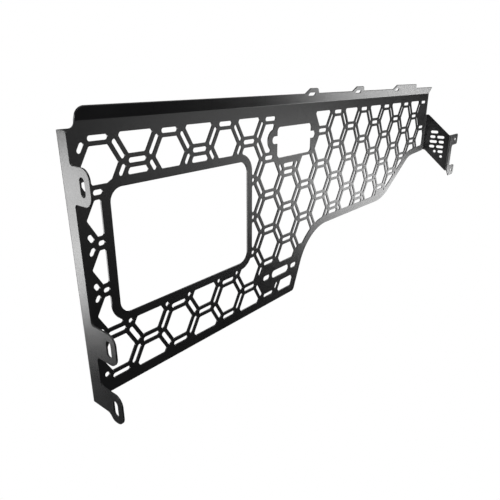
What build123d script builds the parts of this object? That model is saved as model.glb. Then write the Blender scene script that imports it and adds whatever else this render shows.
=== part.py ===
from build123d import *
import math
import os

# Bed side rack: one laser cut sheet, folded along its top, tail and cab edges.
# X runs from the tail end to the cab end, +Z is up, and the folds point to -Y.
# The origin is on the panel's front face, midway between the two lower anchor slots.
# All sizes are in millimetres.

SHEET = 3.2  # sheet thickness
BEND_RADIUS = 3.2  # inside radius of every fold
BEND_REACH = BEND_RADIUS + SHEET  # outside radius of every fold

# Hexagon lattice: flat-topped holes with a slot across every wall between them
CELL = 50.0
COLUMN_PITCH = 1.5 * CELL
ROW_PITCH = math.sqrt(3) * CELL
LATTICE_X, LATTICE_Z = -500.0, 343.0  # centre of column 0, row 0
COLUMNS = range(-1, 19)
HALF_ROWS = range(-3, 10)
PLAIN_CELLS = [(6, 8), (18, 0)]  # left solid: under the foot pad and at the cab end
PLAIN_WALLS = [(6, 8, 120), (7, 7, 60), (8, 6, 0)]  # walls by the foot pad that carry no slot
UNCUT_CELLS = [(8, 2)]  # keeps its whole hexagon beside the outlet window
HEX_RADIUS = 36.2
HEX_CORNER = 4.0
HEX_REACH = 22.0  # a hexagon is left out if its centre is further than this outside the region
SLOT_LENGTH, SLOT_WIDTH = 38.0, 9.2
RIM = 16.0  # plain border round the two windows
WINDOW_TAIL_RIM, WINDOW_TOP_RIM = 18.0, 17.0  # wider borders of the storage window
EDGE_MARGIN = 20.0  # plain border along the free edges
TOP_MARGIN, TAIL_MARGIN, CAB_MARGIN = 22.0, 30.0, 16.0  # plain borders along the folds

# Panel outline
TOP_Z = 414.0  # fold of the top flange
BOTTOM_Z = -75.0
TAIL_X = -566.0  # outside of the tail flange at height 0
TAIL_SLANT = 0.5  # degrees that the tail edge leans away from the vertical
TAIL_TOP_Z = 404.0
STEP_X = -537.5  # where the top flange starts
CAB_X = 892.0  # outside of the cab bracket
PANEL_END_X = CAB_X - SHEET  # plain end of the panel above the bracket
WAIST_Z = 84.0  # lower edge of the narrow cab half
FOOT_SLOPE = 22.0  # degrees that the foot's cab side leans from the vertical
RISE_SLOPE = 32.8  # degrees of the rising lower edge
CAB_SLOPE = 3.5  # degrees of the last lower edge
FOOT_CORNER_X, RISE_X, CAB_EDGE_Z = 61.0, 576.0, 213.0
STEP_CORNER = 10.0
FOOT_CORNER, WAIST_CORNER, RISE_CORNER, KNEE_CORNER = 10.0, 135.0, 170.0, 100.0
CAB_RELIEF = 1.5  # gap between the cab fold and the plain end of the panel above it

# Openings
WINDOW_X, WINDOW_Z, WINDOW_LENGTH, WINDOW_HEIGHT, WINDOW_CORNER = -310.0, 185.0, 356.0, 234.0, 25.0
OUTLET_X, OUTLET_Z, OUTLET_LENGTH, OUTLET_HEIGHT, OUTLET_CORNER = 48.0, 330.0, 143.0, 71.0, 10.0
NOTCH_Z, NOTCH_LENGTH, NOTCH_HEIGHT = 337.0, 181.0, 17.5
SOLID_X, SOLID_LENGTH, SOLID_HEIGHT = 55.0, 164.0, 70.0  # plain sheet above the outlet window
FOOT_PAD_LENGTH, FOOT_PAD_HEIGHT = 170.0, 51.0  # plain sheet round the anchor slots
PAD_TONGUE_X, PAD_TONGUE_Z, PAD_TONGUE_LENGTH, PAD_TONGUE_HEIGHT = -80.0, 4.5, 40.0, 23.0
ANCHOR_SPACING, ANCHOR_LENGTH, ANCHOR_WIDTH = 116.0, 26.0, 13.0
STRAP_LENGTH, STRAP_WIDTH = 72.0, 20.0

# Lines that divide the panel into plain stretches round the two windows and the strap slot
TAIL_CUT_X, CENTRE_CUT_X = -478.0, -146.0
OUTLET_CUT_XS = (-27.0, 122.0)
OUTLET_CUT_INSET = 3.0  # inside the outlet window's upper and lower edges
FOOT_CUT_ROW = 3  # lattice row whose centre line is the top of the foot
STRAP_CUT_X = 32.0  # either side of the middle, just inside the ends of the strap slot

# Tail flange and its three slotted tabs, as reach in front of the panel and height
TAIL_WIDTH = 26.5
TAIL_GAP_WIDTH = 32.0  # between the two lower tabs
TAIL_TOP_CORNER = 6.0
TAB_HEIGHT, TAB_CORNER, TAB_ROOT = 58.5, 18.5, 6.5
UPPER_TAB_Z, UPPER_TAB_REACH, UPPER_SLOT_REACH = 325.0, 72.7, 53.4
MIDDLE_TAB_Z, LOWER_TAB_Z, LOWER_TAB_REACH, LOWER_SLOT_REACH = 59.0, -58.0, 89.0, 70.0
HEEL_REACH, HEEL_CORNER = 50.0, 12.0
CHEEK_REACH, CHEEK_CORNER = 60.0, 12.0
TAIL_SLOT_LENGTH, TAIL_SLOT_WIDTH = 31.0, 13.0

# Top flange and its tabs
TOP_ANGLE = 25.0  # degrees that the flange leans forward of the panel
TOP_WIDTH = 22.5
TOP_TAIL_CORNER, TOP_CAB_CORNER = 14.0, 2.0
TOP_TAB_RISE, TOP_TAB_CORNER = 13.5, 5.0
TOP_TABS = [(72.5, 132.5), (303.0, 369.5), (564.0, 743.0)]  # start and end of each foot
TOP_SLOTS = [(102.5, 30.0), (337.0, 30.0), (592.0, 26.0)]  # middle and length
TOP_SLOT_Y, TOP_SLOT_WIDTH = 21.0, 9.5

# Cab bracket, with rows of strap slots as (start, end) reaches
BRACKET_REACH = 98.5
BRACKET_TOP_Z, BRACKET_BOTTOM_Z = 341.5, 214.5  # along the panel
BRACKET_HEAD_Z, BRACKET_FOOT_Z = 273.5, 146.0  # along the end flange
BRACKET_SHOULDER, BRACKET_CORNER = 9.0, 8.0
STRAP_ROW_Z, STRAP_ROW_PITCH, STRAP_SLOT_WIDTH = 281.0, 17.25, 9.5
STRAP_ROWS = [
    [(24.5, 51.5)],
    [(24.0, 43.5), (50.0, 76.0)],
    [(24.0, 51.0), (57.5, 76.5)],
    [(24.0, 43.5), (50.0, 76.0)],
    [(41.0, 51.0), (57.5, 76.5)],
    [(66.5, 76.5)],
]

# Cab end flange and its two slotted ears
END_WIDTH_X = 915.5
EAR_END_X = 967.5
UPPER_EAR_BOTTOM_Z, LOWER_EAR_TOP_Z, LOWER_EAR_BOTTOM_Z = 236.0, 160.0, 123.5
EAR_HEEL_X, EAR_CORNER, EAR_ROOT = 920.0, 8.0, 9.0
EAR_SLOTS = [(946.0, 255.0), (944.0, 140.5)]
EAR_SLOT_LENGTH, EAR_SLOT_WIDTH = 20.0, 9.0

slant = math.radians(TAIL_SLANT)
top_lean = math.radians(TOP_ANGLE)

# Each stretch of sheet is drawn on its front face and is SHEET thick behind that face
PANEL_FACE = Plane.XZ
TAIL_FACE = Plane(
    origin=(TAIL_X, 0, 0), x_dir=(0, -1, 0), z_dir=(-math.cos(slant), 0, -math.sin(slant))
)
TOP_FACE = Plane(
    origin=(0, BEND_RADIUS * (math.cos(top_lean) - 1), TOP_Z + BEND_RADIUS * math.sin(top_lean)),
    x_dir=(1, 0, 0),
    z_dir=(0, -math.cos(top_lean), -math.sin(top_lean)),
)
BRACKET_FACE = Plane(origin=(CAB_X - SHEET, 0, 0), x_dir=(0, -1, 0), z_dir=(-1, 0, 0))
END_FACE = Plane.XZ.offset(BRACKET_REACH)

# Each fold turns about the origin of its plane
TAIL_FOLD = Plane(
    origin=TAIL_FACE.from_local_coords((BEND_RADIUS, TAIL_TOP_Z, -BEND_REACH)),
    x_dir=TAIL_FACE.z_dir,
    z_dir=-TAIL_FACE.y_dir,
)
TOP_FOLD = Plane(origin=(STEP_X, -BEND_RADIUS, TOP_Z), x_dir=(0, 1, 0), z_dir=(1, 0, 0))
BRACKET_FOLD = Plane(origin=(CAB_X - BEND_REACH, -BEND_RADIUS, BRACKET_BOTTOM_Z))
END_FOLD = Plane(origin=(CAB_X + BEND_RADIUS, BEND_REACH - BRACKET_REACH, BRACKET_FOOT_Z))


def tail_x(z, inset):
    """X of a line parallel to the tail edge, a distance inside it, at height z."""
    return TAIL_X - z * math.tan(slant) + inset / math.cos(slant)


def outline(corners):
    """Filled outline through (x, y, corner radius) points."""
    with BuildLine() as border:
        Polyline(*[(x, y) for x, y, _ in corners], close=True)
    make_face(border.edges())
    for x, y, radius in corners:
        if radius:
            fillet(vertices().sort_by_distance((x, y))[0], radius)


def fold(profile_plane, start_angle, angle, length):
    """Part ring that joins two flat stretches of sheet, with its axis at the plane's origin."""
    with BuildSketch(profile_plane) as profile:
        with BuildLine():
            inner = CenterArc((0, 0), BEND_RADIUS, start_angle, angle)
            outer = CenterArc((0, 0), BEND_REACH, start_angle, angle)
            Line(inner @ 0, outer @ 0)
            Line(inner @ 1, outer @ 1)
        make_face()
    extrude(profile.sketch, amount=length)


def slot_between(start, end, width):
    """Slot whose end arcs are centred on the two points."""
    run = Vector(*end) - Vector(*start)
    with Locations((Vector(*start) + Vector(*end)) * 0.5):
        if run.length < SHEET / 4:
            Circle(width / 2)
        else:
            SlotCenterToCenter(run.length, width, rotation=math.degrees(math.atan2(run.Y, run.X)))


# Panel outline, from the tail's top corner round to the cab end and back
foot_run = (WAIST_Z - BOTTOM_Z) * math.tan(math.radians(FOOT_SLOPE))
rise = math.tan(math.radians(RISE_SLOPE))
cab_rise = math.tan(math.radians(CAB_SLOPE))
knee_x = (CAB_EDGE_Z - WAIST_Z + RISE_X * rise - CAB_X * cab_rise) / (rise - cab_rise)
lower_edge = [
    (FOOT_CORNER_X, BOTTOM_Z, FOOT_CORNER),
    (FOOT_CORNER_X + foot_run, WAIST_Z, WAIST_CORNER),
    (RISE_X, WAIST_Z, RISE_CORNER),
    (knee_x, WAIST_Z + (knee_x - RISE_X) * rise, KNEE_CORNER),
]

with BuildSketch() as panel_outline:
    outline(
        [
            (tail_x(TAIL_TOP_Z, BEND_REACH), TAIL_TOP_Z, 0),
            (tail_x(BOTTOM_Z, BEND_REACH), BOTTOM_Z, 0),
            *lower_edge,
            (CAB_X - BEND_REACH, CAB_EDGE_Z - BEND_REACH * cab_rise, 0),
            (CAB_X - BEND_REACH, BRACKET_TOP_Z + CAB_RELIEF, 0),
            (PANEL_END_X, BRACKET_TOP_Z + CAB_RELIEF, 0),
            (PANEL_END_X, TOP_Z, 0),
            (STEP_X, TOP_Z, 0),
            (STEP_X, TAIL_TOP_Z, STEP_CORNER),
        ]
    )

with BuildSketch() as storage_window:
    with Locations((WINDOW_X, WINDOW_Z)):
        RectangleRounded(WINDOW_LENGTH, WINDOW_HEIGHT, WINDOW_CORNER)

border_size = (
    WINDOW_LENGTH + WINDOW_TAIL_RIM + RIM,
    WINDOW_HEIGHT + WINDOW_TOP_RIM + RIM,
)
with BuildSketch() as storage_window_border:
    with Locations((WINDOW_X + (RIM - WINDOW_TAIL_RIM) / 2, WINDOW_Z + (WINDOW_TOP_RIM - RIM) / 2)):
        RectangleRounded(*border_size, WINDOW_CORNER + RIM)

with BuildSketch() as outlet_window:
    with Locations((OUTLET_X, OUTLET_Z)):
        RectangleRounded(OUTLET_LENGTH, OUTLET_HEIGHT, OUTLET_CORNER)
    with Locations((OUTLET_X, NOTCH_Z)):
        SlotOverall(NOTCH_LENGTH, NOTCH_HEIGHT)

# The lattice stays inside this region
with BuildSketch() as lattice_region:
    outline(
        [
            (tail_x(TOP_Z, BEND_REACH), TOP_Z, 0),
            (tail_x(BOTTOM_Z, BEND_REACH), BOTTOM_Z, 0),
            *lower_edge,
            (CAB_X + EDGE_MARGIN, CAB_EDGE_Z + EDGE_MARGIN * cab_rise, 0),
            (CAB_X + EDGE_MARGIN, TOP_Z, 0),
        ]
    )
    offset(amount=-EDGE_MARGIN, kind=Kind.INTERSECTION)
    outline_limits = [
        (tail_x(TOP_Z, TAIL_MARGIN), TOP_Z - TOP_MARGIN),
        (tail_x(BOTTOM_Z, TAIL_MARGIN), BOTTOM_Z),
        (CAB_X - CAB_MARGIN, BOTTOM_Z),
        (CAB_X - CAB_MARGIN, TOP_Z - TOP_MARGIN),
    ]
    with BuildLine():
        Polyline(*outline_limits, close=True)
    make_face(mode=Mode.INTERSECT)
    add(storage_window_border.sketch, mode=Mode.SUBTRACT)
    add(offset(outlet_window.sketch, RIM, mode=Mode.PRIVATE), mode=Mode.SUBTRACT)
    SlotOverall(FOOT_PAD_LENGTH, FOOT_PAD_HEIGHT, mode=Mode.SUBTRACT)
    with Locations((PAD_TONGUE_X, PAD_TONGUE_Z)):
        Rectangle(PAD_TONGUE_LENGTH, PAD_TONGUE_HEIGHT, mode=Mode.SUBTRACT)
    with Locations((SOLID_X, TOP_Z)):
        Rectangle(SOLID_LENGTH, SOLID_HEIGHT, align=(Align.CENTER, Align.MAX), mode=Mode.SUBTRACT)

# A slot's centreline stays half a width further in
with BuildSketch() as centreline_region:
    add(lattice_region.sketch)
    offset(amount=-SLOT_WIDTH / 2)


def cell_centre(column, half_row):
    return Vector(LATTICE_X + column * COLUMN_PITCH, LATTICE_Z - half_row * ROW_PITCH / 2)


def hexagon(column, half_row):
    """Hexagonal hole cut back to the lattice region, or None where it is mostly outside."""
    centre = cell_centre(column, half_row)
    if lattice_region.face().distance_to(centre) > HEX_REACH:
        return None
    with BuildSketch() as hole:
        with Locations(centre):
            RegularPolygon(HEX_RADIUS, 6)
        if (column, half_row) not in UNCUT_CELLS:
            add(lattice_region.sketch, mode=Mode.INTERSECT)
        offset(amount=-HEX_CORNER, kind=Kind.INTERSECTION)
        offset(amount=HEX_CORNER)
    return hole.sketch


def wall_slot(centre, angle):
    """Slot along a wall, cut back to the lattice region, or None where it falls outside."""
    half_run = Vector((SLOT_LENGTH - SLOT_WIDTH) / 2, 0).rotate(Axis.Z, angle)
    ends = [centre - half_run, centre + half_run]
    kept = Edge.make_line(*ends).intersect(centreline_region.face())
    if kept:
        kept = kept[0] if isinstance(kept, list) else kept
        ends = [kept @ 0, kept @ 1]
    else:
        ends = [end for end in ends if lattice_region.face().is_inside(end)]
        if not ends:
            return None
        ends = [ends[0], ends[0]]
    with BuildSketch() as hole:
        slot_between(*ends, SLOT_WIDTH)
    return hole.sketch


cells = [(c, r) for c in COLUMNS for r in HALF_ROWS if (c + r) % 2 == 0]
lattice_holes = []
for cell in cells:
    if cell not in PLAIN_CELLS:
        lattice_holes.append(hexagon(*cell))
    for angle in (0, 60, 120):
        if (*cell, angle) not in PLAIN_WALLS:
            wall_centre = cell_centre(*cell) + Vector(0, -ROW_PITCH / 2).rotate(Axis.Z, angle)
            lattice_holes.append(wall_slot(wall_centre, angle))
lattice_holes = [hole for hole in lattice_holes if hole]

with BuildSketch() as panel_sheet:
    add(panel_outline.sketch)
    add([storage_window.sketch, outlet_window.sketch, *lattice_holes], mode=Mode.SUBTRACT)
    SlotOverall(STRAP_LENGTH, STRAP_WIDTH, mode=Mode.SUBTRACT)
    with GridLocations(ANCHOR_SPACING, 0, 2, 1):
        SlotOverall(ANCHOR_LENGTH, ANCHOR_WIDTH, mode=Mode.SUBTRACT)


def sheet_between(face_plane, profile, *blocks):
    """Sheet solid of the stretch of a profile inside blocks given by two opposite corners."""
    with BuildSketch() as area:
        for low_corner, high_corner in blocks:
            size = Vector(*high_corner) - Vector(*low_corner)
            with Locations(Vector(*low_corner) + size * 0.5):
                Rectangle(size.X, size.Y)
    with BuildSketch(face_plane) as stretch:
        add(profile)
        add(area.sketch, mode=Mode.INTERSECT)
    extrude(stretch.sketch, amount=-SHEET)


def panel_part(*blocks):
    sheet_between(PANEL_FACE, panel_sheet.sketch, *blocks)


os.makedirs("parts", exist_ok=True)

tail_edge_x = tail_x(TOP_Z, 0)
foot_cut_z = LATTICE_Z - FOOT_CUT_ROW * ROW_PITCH
outlet_low_x, outlet_high_x = OUTLET_CUT_XS
outlet_low_z = OUTLET_Z - OUTLET_HEIGHT / 2 + OUTLET_CUT_INSET
outlet_high_z = OUTLET_Z + OUTLET_HEIGHT / 2 - OUTLET_CUT_INSET

with BuildPart() as panel_tail_post:
    panel_part(((tail_edge_x, BOTTOM_Z), (TAIL_CUT_X, TOP_Z)))
panel_tail_post.part.label = "panel_tail_post"
export_step(panel_tail_post.part, "parts/panel_tail_post.step")

with BuildPart() as panel_window_header:
    panel_part(((TAIL_CUT_X, WINDOW_Z), (CENTRE_CUT_X, TOP_Z)))
panel_window_header.part.label = "panel_window_header"
export_step(panel_window_header.part, "parts/panel_window_header.step")

with BuildPart() as panel_window_sill:
    panel_part(((TAIL_CUT_X, BOTTOM_Z), (CENTRE_CUT_X, WINDOW_Z)))
panel_window_sill.part.label = "panel_window_sill"
export_step(panel_window_sill.part, "parts/panel_window_sill.step")

with BuildPart() as foot_tail_side:
    panel_part(((CENTRE_CUT_X, BOTTOM_Z), (-STRAP_CUT_X, foot_cut_z)))
foot_tail_side.part.label = "foot_tail_side"
export_step(foot_tail_side.part, "parts/foot_tail_side.step")

with BuildPart() as foot_cab_side:
    panel_part(((STRAP_CUT_X, BOTTOM_Z), (outlet_high_x, foot_cut_z)))
foot_cab_side.part.label = "foot_cab_side"
export_step(foot_cab_side.part, "parts/foot_cab_side.step")

with BuildPart() as strap_slot_header:
    panel_part(((-STRAP_CUT_X, 0), (STRAP_CUT_X, foot_cut_z)))
strap_slot_header.part.label = "strap_slot_header"
export_step(strap_slot_header.part, "parts/strap_slot_header.step")

with BuildPart() as strap_slot_sill:
    panel_part(((-STRAP_CUT_X, BOTTOM_Z), (STRAP_CUT_X, 0)))
strap_slot_sill.part.label = "strap_slot_sill"
export_step(strap_slot_sill.part, "parts/strap_slot_sill.step")

with BuildPart() as panel_centre_post:
    panel_part(
        ((CENTRE_CUT_X, foot_cut_z), (outlet_low_x, TOP_Z)),
        ((outlet_low_x, outlet_low_z), (OUTLET_X, outlet_high_z)),
    )
panel_centre_post.part.label = "panel_centre_post"
export_step(panel_centre_post.part, "parts/panel_centre_post.step")

with BuildPart() as panel_outlet_header:
    panel_part(((outlet_low_x, outlet_high_z), (outlet_high_x, TOP_Z)))
panel_outlet_header.part.label = "panel_outlet_header"
export_step(panel_outlet_header.part, "parts/panel_outlet_header.step")

with BuildPart() as panel_outlet_sill:
    panel_part(((outlet_low_x, foot_cut_z), (outlet_high_x, outlet_low_z)))
panel_outlet_sill.part.label = "panel_outlet_sill"
export_step(panel_outlet_sill.part, "parts/panel_outlet_sill.step")

with BuildPart() as panel_cab_field:
    panel_part(
        ((outlet_high_x, BOTTOM_Z), (CAB_X, TOP_Z)),
        ((OUTLET_X, outlet_low_z), (outlet_high_x, outlet_high_z)),
    )
panel_cab_field.part.label = "panel_cab_field"
export_step(panel_cab_field.part, "parts/panel_cab_field.step")

# Tail flange: X is the reach in front of the panel and Y is the height
half_tab = TAB_HEIGHT / 2


def tab_corners(reach, middle_z, root_below, root_above):
    """Outline points of a tab, with the reach of the flange edge below and above it."""
    low, high = middle_z - half_tab, middle_z + half_tab
    return [
        (root_below, low, TAB_ROOT),
        (reach, low, TAB_CORNER),
        (reach, high, TAB_CORNER),
        (root_above, high, TAB_ROOT),
    ]


with BuildSketch() as tail_profile:
    outline(
        [
            (BEND_RADIUS, BOTTOM_Z, 0),
            (HEEL_REACH, BOTTOM_Z, HEEL_CORNER),
            (CHEEK_REACH, LOWER_TAB_Z - half_tab, CHEEK_CORNER),
            *tab_corners(LOWER_TAB_REACH, LOWER_TAB_Z, TAIL_GAP_WIDTH, TAIL_GAP_WIDTH)[1:],
            *tab_corners(LOWER_TAB_REACH, MIDDLE_TAB_Z, TAIL_GAP_WIDTH, TAIL_WIDTH),
            *tab_corners(UPPER_TAB_REACH, UPPER_TAB_Z, TAIL_WIDTH, TAIL_WIDTH),
            (TAIL_WIDTH, TAIL_TOP_Z, TAIL_TOP_CORNER),
            (BEND_RADIUS, TAIL_TOP_Z, 0),
        ]
    )
    with Locations(
        (UPPER_SLOT_REACH, UPPER_TAB_Z),
        (LOWER_SLOT_REACH, MIDDLE_TAB_Z),
        (LOWER_SLOT_REACH, LOWER_TAB_Z),
    ):
        SlotOverall(TAIL_SLOT_LENGTH, TAIL_SLOT_WIDTH, rotation=90, mode=Mode.SUBTRACT)

# The tabs start past their root fillets
tab_root_reach = TAIL_GAP_WIDTH + TAB_ROOT

with BuildPart() as tail_flange:
    sheet_between(TAIL_FACE, tail_profile.sketch, ((0, BOTTOM_Z), (tab_root_reach, TAIL_TOP_Z)))
    fold(TAIL_FOLD, 0, 90, TAIL_TOP_Z - BOTTOM_Z)
tail_flange.part.label = "tail_flange"
export_step(tail_flange.part, "parts/tail_flange.step")


def tail_tab(reach, middle_z):
    block = ((tab_root_reach, middle_z - half_tab), (reach, middle_z + half_tab))
    sheet_between(TAIL_FACE, tail_profile.sketch, block)


with BuildPart() as upper_tail_tab:
    tail_tab(UPPER_TAB_REACH, UPPER_TAB_Z)
upper_tail_tab.part.label = "upper_tail_tab"
export_step(upper_tail_tab.part, "parts/upper_tail_tab.step")

with BuildPart() as middle_tail_tab:
    tail_tab(LOWER_TAB_REACH, MIDDLE_TAB_Z)
middle_tail_tab.part.label = "middle_tail_tab"
export_step(middle_tail_tab.part, "parts/middle_tail_tab.step")

with BuildPart() as lower_tail_tab:
    tail_tab(LOWER_TAB_REACH, LOWER_TAB_Z)
lower_tail_tab.part.label = "lower_tail_tab"
export_step(lower_tail_tab.part, "parts/lower_tail_tab.step")

# Top flange: X is the length and Y runs up the flange from its fold
tab_top = TOP_WIDTH + TOP_TAB_RISE
top_tab_outline = []
for start, end in reversed(TOP_TABS):
    top_tab_outline += [
        (end, TOP_WIDTH, 0),
        (end - TOP_TAB_RISE, tab_top, TOP_TAB_CORNER),
        (start + TOP_TAB_RISE, tab_top, TOP_TAB_CORNER),
        (start, TOP_WIDTH, 0),
    ]

with BuildPart() as top_flange:
    with BuildSketch(TOP_FACE):
        outline(
            [
                (STEP_X, 0, 0),
                (PANEL_END_X, 0, 0),
                (PANEL_END_X, TOP_WIDTH, TOP_CAB_CORNER),
                *top_tab_outline,
                (STEP_X, TOP_WIDTH, TOP_TAIL_CORNER),
            ]
        )
        for x, length in TOP_SLOTS:
            with Locations((x, TOP_SLOT_Y)):
                SlotOverall(length, TOP_SLOT_WIDTH, mode=Mode.SUBTRACT)
    extrude(amount=-SHEET)
    fold(TOP_FOLD, 0, TOP_ANGLE, PANEL_END_X - STEP_X)
top_flange.part.label = "top_flange"
export_step(top_flange.part, "parts/top_flange.step")

# Cab bracket: X is the reach in front of the panel and Y is the height
bracket_end = BRACKET_REACH - BEND_REACH

with BuildPart() as cab_bracket:
    with BuildSketch(BRACKET_FACE):
        outline(
            [
                (BEND_RADIUS, BRACKET_BOTTOM_Z, 0),
                (BRACKET_SHOULDER, BRACKET_BOTTOM_Z, BRACKET_CORNER),
                (bracket_end, BRACKET_FOOT_Z, 0),
                (bracket_end, BRACKET_HEAD_Z, 0),
                (BRACKET_SHOULDER, BRACKET_TOP_Z, BRACKET_CORNER),
                (BEND_RADIUS, BRACKET_TOP_Z, 0),
            ]
        )
        for row, slots in enumerate(STRAP_ROWS):
            row_z = STRAP_ROW_Z - row * STRAP_ROW_PITCH
            for start, end in slots:
                with Locations(((start + end) / 2, row_z)):
                    SlotOverall(end - start, STRAP_SLOT_WIDTH, mode=Mode.SUBTRACT)
    extrude(amount=-SHEET)
    fold(BRACKET_FOLD, 0, 90, BRACKET_TOP_Z - BRACKET_BOTTOM_Z)
cab_bracket.part.label = "cab_bracket"
export_step(cab_bracket.part, "parts/cab_bracket.step")

# Cab end flange: X is the length and Y is the height
end_start_x = CAB_X + BEND_RADIUS
ear_root_x = END_WIDTH_X + EAR_ROOT
ear_split_z = (UPPER_EAR_BOTTOM_Z + LOWER_EAR_TOP_Z) / 2

with BuildSketch() as end_profile:
    outline(
        [
            (end_start_x, BRACKET_FOOT_Z, 0),
            (EAR_HEEL_X, LOWER_EAR_BOTTOM_Z, 0),
            (EAR_END_X, LOWER_EAR_BOTTOM_Z, EAR_CORNER),
            (EAR_END_X, LOWER_EAR_TOP_Z, EAR_CORNER),
            (END_WIDTH_X, LOWER_EAR_TOP_Z, EAR_ROOT),
            (END_WIDTH_X, UPPER_EAR_BOTTOM_Z, EAR_ROOT),
            (EAR_END_X, UPPER_EAR_BOTTOM_Z, EAR_CORNER),
            (EAR_END_X, BRACKET_HEAD_Z, EAR_CORNER),
            (end_start_x, BRACKET_HEAD_Z, 0),
        ]
    )
    with Locations(*EAR_SLOTS):
        SlotOverall(EAR_SLOT_LENGTH, EAR_SLOT_WIDTH, mode=Mode.SUBTRACT)


def end_part(low_corner, high_corner):
    sheet_between(END_FACE, end_profile.sketch, (low_corner, high_corner))


with BuildPart() as cab_end_flange:
    end_part((end_start_x, LOWER_EAR_BOTTOM_Z), (ear_root_x, BRACKET_HEAD_Z))
    fold(END_FOLD, 180, 90, BRACKET_HEAD_Z - BRACKET_FOOT_Z)
cab_end_flange.part.label = "cab_end_flange"
export_step(cab_end_flange.part, "parts/cab_end_flange.step")

with BuildPart() as upper_cab_ear:
    end_part((ear_root_x, ear_split_z), (EAR_END_X, BRACKET_HEAD_Z))
upper_cab_ear.part.label = "upper_cab_ear"
export_step(upper_cab_ear.part, "parts/upper_cab_ear.step")

with BuildPart() as lower_cab_ear:
    end_part((ear_root_x, LOWER_EAR_BOTTOM_Z), (EAR_END_X, ear_split_z))
lower_cab_ear.part.label = "lower_cab_ear"
export_step(lower_cab_ear.part, "parts/lower_cab_ear.step")
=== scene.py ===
import bpy
import math
from mathutils import Matrix, Vector


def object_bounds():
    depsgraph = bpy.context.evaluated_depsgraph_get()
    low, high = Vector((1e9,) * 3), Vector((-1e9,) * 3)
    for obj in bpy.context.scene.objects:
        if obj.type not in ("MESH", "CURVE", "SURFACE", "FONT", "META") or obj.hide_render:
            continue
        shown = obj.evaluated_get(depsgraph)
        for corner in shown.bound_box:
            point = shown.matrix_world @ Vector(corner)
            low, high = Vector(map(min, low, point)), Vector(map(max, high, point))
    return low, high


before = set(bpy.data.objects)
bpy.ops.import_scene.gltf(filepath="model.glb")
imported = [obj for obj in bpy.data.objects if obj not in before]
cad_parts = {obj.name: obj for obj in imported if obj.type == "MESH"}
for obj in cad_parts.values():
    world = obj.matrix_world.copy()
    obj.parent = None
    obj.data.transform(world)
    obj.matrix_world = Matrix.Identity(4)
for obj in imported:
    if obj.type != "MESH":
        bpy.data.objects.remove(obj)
size_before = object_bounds()

scene = bpy.context.scene
scene.view_settings.view_transform = "Standard"

# Camera: place and clipping in metres, lens and sensor in millimetres
CAMERA_AT = Vector((-0.94774, -0.68744, 0.48141))
CAMERA_LOOK = Vector((0.72244, 0.60112, -0.34165)).normalized()
CAMERA_RIGHT = Vector((0.63983, -0.76852, 0.00077)).normalized()
LENS, SENSOR_WIDTH = 35, 36
SHIFT_X, SHIFT_Y = -0.001, 0.001
CLIP_START, CLIP_END = 0.05, 50

# Powder coat: noise scales are per metre, and the peel's height is in metres
ORANGE_PEEL = {"Scale": 520.0, "Detail": 3.0, "Roughness": 0.6}
DRIFT = {"Scale": 9.0, "Detail": 3.0, "Roughness": 0.5}
SPECKLE = {"Scale": 2600.0, "Detail": 1.0, "Roughness": 0.5}
NOISE_LOW, NOISE_HIGH = 0.3, 0.7  # a noise stays mostly between these
PEEL_HEIGHT, PEEL_STRENGTH = 0.0002, 0.4
DEEP_BLACK, GREY_BLACK = (0.013, 0.013, 0.014, 1), (0.018, 0.018, 0.019, 1)
GLOSSIEST, DULLEST = 0.28, 0.32  # roughness at either end of the drift
SPECKLE_ROUGHNESS = 0.04  # the most that the speckle adds or takes
SPECULAR_LEVEL = 0.5

# Surroundings: height of a direction, from -1 straight down to 1 straight up, and its brightness
BANDS = [
    (-1.0, 0.35), (-0.85, 0.05), (-0.6, 0.01), (-0.3, 0.05), (0.0, 0.06), (0.3, 0.15), (1.0, 0.5),
]
WHITE = (1, 1, 1, 1)

# Soft boxes: place, point they face, width, height and radiance. The two named in SHEEN_ONLY give
# the part its reflections from the sides that the camera doesn't see, and add no diffuse light.
SHEEN_ONLY = ("front_low", "rear_low")
SOFT_BOXES = {
    "cab_side_high": ((3.10, -1.22, -0.475), (0.5, 0.0, 0.2), 1.75, 0.33, 5.6),
    "cab_side_low": ((3.10, -1.10, -0.87), (0.5, 0.0, 0.2), 1.5, 0.46, 4.1),
    "cab_side_fade": ((3.10, -1.55, -0.20), (0.5, 0.0, 0.2), 1.4, 0.20, 1.2),
    "tail_side": ((-2.6, 3.0, -0.81), (-0.56, 0.0, 0.2), 2.0, 1.62, 7.1),
    "front": ((3.0, -2.9, -0.05), (0.0, 0.0, 0.3), 2.2, 1.1, 1.3),
    "side": ((0.6, -3.0, -0.15), (-0.4, 0.0, 0.2), 2.4, 1.2, 0.3),
    "front_wall": ((-1.3, -3.6, 0.4), (0.1, 0.0, 0.2), 2.6, 2.2, 0.6),
    "front_low": ((-2.6, -2.9, -0.6), (0.3, 0.0, 0.2), 2.4, 1.0, 5.0),
    "left": ((-3.6, -0.2, 1.2), (0.5, 0.0, 0.2), 2.4, 1.6, 1.0),
    "back": ((3.5, 2.6, 1.3), (0.2, 0.0, 0.2), 2.0, 1.2, 2.5),
    "rear_wall": ((1.6, 3.6, -0.2), (0.2, 0.0, 0.2), 4.0, 2.2, 1.0),
    "rear_low": ((2.9, 2.7, -0.9), (0.0, 0.0, 0.2), 2.4, 1.0, 5.0),
    "above": ((0.0, -0.5, 3.0), (0.1, 0.0, 0.2), 3.0, 1.5, 1.2),
}

FLOOR_SIZE, FLOOR_X = 30, 0.1
FLOOR_DROP = 2.5  # below the part's lowest point


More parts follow.
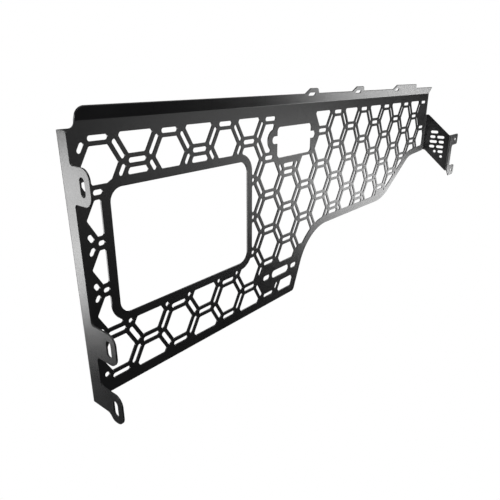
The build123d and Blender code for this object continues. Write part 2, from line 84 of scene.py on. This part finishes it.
class Graph:
    """Short way to write a shader graph."""

    def __init__(self, tree):
        self.tree = tree

    def add(self, kind, inputs=None, **settings):
        node = self.tree.nodes.new(kind)
        for key, value in settings.items():
            setattr(node, key, value)
        for key, value in (inputs or {}).items():
            if isinstance(value, bpy.types.NodeSocket):
                self.tree.links.new(value, node.inputs[key])
            else:
                node.inputs[key].default_value = value
        return node

    def noise(self, coords, settings):
        return self.add("ShaderNodeTexNoise", {"Vector": coords, **settings}).outputs["Fac"]

    def spread(self, value, low, high, to_low, to_high):
        limits = {"From Min": low, "From Max": high, "To Min": to_low, "To Max": to_high}
        return self.add("ShaderNodeMapRange", {"Value": value, **limits}).outputs["Result"]


def place_camera():
    camera = bpy.data.objects.new("camera", bpy.data.cameras.new("camera"))
    scene.collection.objects.link(camera)
    up = CAMERA_RIGHT.cross(CAMERA_LOOK).normalized()
    turn = Matrix((CAMERA_RIGHT, up, -CAMERA_LOOK)).transposed()
    camera.matrix_world = Matrix.Translation(CAMERA_AT) @ turn.to_4x4()
    camera.data.lens, camera.data.sensor_width = LENS, SENSOR_WIDTH
    camera.data.shift_x, camera.data.shift_y = SHIFT_X, SHIFT_Y
    camera.data.clip_start, camera.data.clip_end = CLIP_START, CLIP_END
    scene.camera = camera


def powder_coat():
    """Satin black: colour and gloss drift slowly, under a fine orange peel and a finer speckle."""
    coat = bpy.data.materials.new("black_powder_coat")
    coat.use_nodes = True
    g = Graph(coat.node_tree)
    coords = g.add("ShaderNodeTexCoord").outputs["Object"]
    orange_peel = g.noise(coords, ORANGE_PEEL)
    drift = g.noise(coords, DRIFT)
    speckle = g.noise(coords, SPECKLE)

    colour = g.add("ShaderNodeValToRGB", {"Fac": drift})
    stops = colour.color_ramp.elements
    stops[0].position, stops[0].color = NOISE_LOW, DEEP_BLACK
    stops[1].position, stops[1].color = NOISE_HIGH, GREY_BLACK

    slow = g.spread(drift, NOISE_LOW, NOISE_HIGH, GLOSSIEST, DULLEST)
    fine = g.spread(speckle, NOISE_LOW, NOISE_HIGH, -SPECKLE_ROUGHNESS, SPECKLE_ROUGHNESS)
    rough = g.add("ShaderNodeMath", {0: slow, 1: fine}, operation="ADD")
    bump = g.add(
        "ShaderNodeBump",
        {"Strength": PEEL_STRENGTH, "Distance": PEEL_HEIGHT, "Height": orange_peel},
    )

    shader = coat.node_tree.nodes["Principled BSDF"]
    g.tree.links.new(colour.outputs["Color"], shader.inputs["Base Color"])
    g.tree.links.new(rough.outputs[0], shader.inputs["Roughness"])
    g.tree.links.new(bump.outputs["Normal"], shader.inputs["Normal"])
    shader.inputs["Specular IOR Level"].default_value = SPECULAR_LEVEL
    return coat


def dim_studio():
    """Grey bands that light the part, with plain white where the camera looks past it."""
    world = bpy.data.worlds.new("world")
    scene.world = world
    world.use_nodes = True
    g = Graph(world.node_tree)
    g.tree.nodes.clear()
    direction = g.add("ShaderNodeTexCoord").outputs["Generated"]
    height = g.add("ShaderNodeSeparateXYZ", {"Vector": direction}).outputs["Z"]
    ramp = g.add("ShaderNodeValToRGB", {"Fac": g.spread(height, -1.0, 1.0, 0.0, 1.0)})
    stops = ramp.color_ramp.elements
    while len(stops) < len(BANDS):
        stops.new(0.5)
    for stop, (z, value) in zip(stops, BANDS):
        stop.position = (z + 1) / 2
        stop.color = (value, value, value, 1)
    around = g.add("ShaderNodeBackground", {"Color": ramp.outputs["Color"], "Strength": 1.0})
    past = g.add("ShaderNodeBackground", {"Color": WHITE, "Strength": 1.0})
    seen = g.add("ShaderNodeLightPath").outputs["Is Camera Ray"]
    mixed = g.add("ShaderNodeMixShader", {0: seen, 1: around.outputs[0], 2: past.outputs[0]})
    g.add("ShaderNodeOutputWorld", {"Surface": mixed.outputs[0]})


def soft_box(name, place, target, width, tall, radiance):
    lamp = bpy.data.lights.new(name, "AREA")
    lamp.shape = "RECTANGLE"
    lamp.size, lamp.size_y = width, tall
    lamp.energy = radiance * math.pi * width * tall
    box = bpy.data.objects.new(name, lamp)
    scene.collection.objects.link(box)
    box.location = place
    box.rotation_euler = (Vector(place) - Vector(target)).to_track_quat("Z", "Y").to_euler()
    box.visible_camera = False
    box.visible_diffuse = name not in SHEEN_ONLY


def white_floor(part_bottom):
    """Glowing white floor for the camera alone: it adds no light, reflection or shadow."""
    low = part_bottom - FLOOR_DROP
    bpy.ops.mesh.primitive_plane_add(size=FLOOR_SIZE, location=(FLOOR_X, 0, low))
    floor = bpy.context.object
    floor.name = "floor"
    paper = bpy.data.materials.new("floor")
    paper.use_nodes = True
    g = Graph(paper.node_tree)
    g.tree.nodes.clear()
    glow = g.add("ShaderNodeEmission", {"Color": WHITE, "Strength": 1.0})
    g.add("ShaderNodeOutputMaterial", {"Surface": glow.outputs[0]})
    floor.data.materials.append(paper)
    floor.visible_glossy = False
    floor.visible_diffuse = False
    floor.visible_shadow = False


place_camera()

# Every piece is the same coated sheet. The pieces don't reflect each other, which keeps the tone of
# the cab bracket even.
coat = powder_coat()
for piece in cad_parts.values():
    piece.data.materials.clear()
    piece.data.materials.append(coat)
    piece.visible_glossy = False

dim_studio()
for name, settings in SOFT_BOXES.items():
    soft_box(name, *settings)
white_floor(size_before[0][2])
